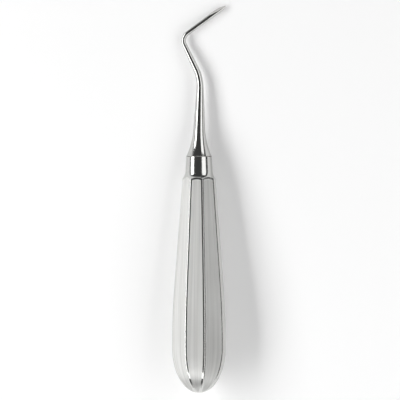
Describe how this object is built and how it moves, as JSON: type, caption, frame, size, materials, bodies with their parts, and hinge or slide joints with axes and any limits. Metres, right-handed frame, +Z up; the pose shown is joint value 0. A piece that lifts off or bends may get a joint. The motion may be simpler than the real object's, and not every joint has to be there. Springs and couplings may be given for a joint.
{
  "type": "root tip elevator",
  "caption": "Surgical root tip elevator with a hollow faceted pear-shaped handle, a bent tapering shank and a slender pointed blade ground flat on one side.",
  "frame": {"origin": "middle of the handle's lowest flat, on the surface that the instrument lies on", "axes": "+Y from the butt towards the blade, +X to the side that the blade points to, +Z up out of the flat"},
  "size_m": [0.022, 0.1584, 0.0222],
  "materials": {
    "satin_steel": "satin stainless steel, finely ground along the flats",
    "polished_steel": "mirror-polished stainless steel"
  },
  "bodies": {
    "root": {"handle": "satin_steel", "shank_and_blade": "polished_steel"}
  },
  "joints": []
}
